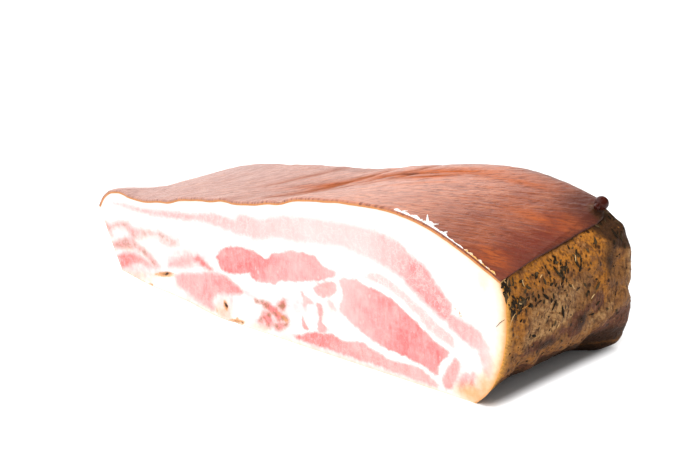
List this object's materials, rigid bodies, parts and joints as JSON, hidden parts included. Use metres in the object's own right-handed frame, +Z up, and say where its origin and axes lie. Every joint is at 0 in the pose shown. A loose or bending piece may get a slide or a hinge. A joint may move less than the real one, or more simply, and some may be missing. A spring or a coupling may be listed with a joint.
{
  "type": "smoked bacon",
  "caption": "Slab of smoked pork belly, cut fresh across the front, with a bowed rind on top, herbs pressed into its smoked sides and a juniper berry at one corner.",
  "frame": {"origin": "middle of the lowest plane of the slab's box, on the surface it rests on", "axes": "+X towards the thick end along the belly's width, -Y out of the fresh cut face, +Z up out of the rind"},
  "size_m": [0.2466, 0.094, 0.0733],
  "materials": {
    "bacon_meat": "moist fresh cut of pink lean in white fat, with red-brown rind and ochre smoked sides",
    "rind_skin": "smoked rind, matte, red-brown with fine pores and creases",
    "herb_flakes": "dry dark herb leaves, straws and pepper specks",
    "berry_skin": "dark red-brown berry skin, moist gloss"
  },
  "bodies": {
    "root": {"bacon_slab": "bacon_meat", "juniper_berry": "berry_skin"}
  },
  "joints": []
}
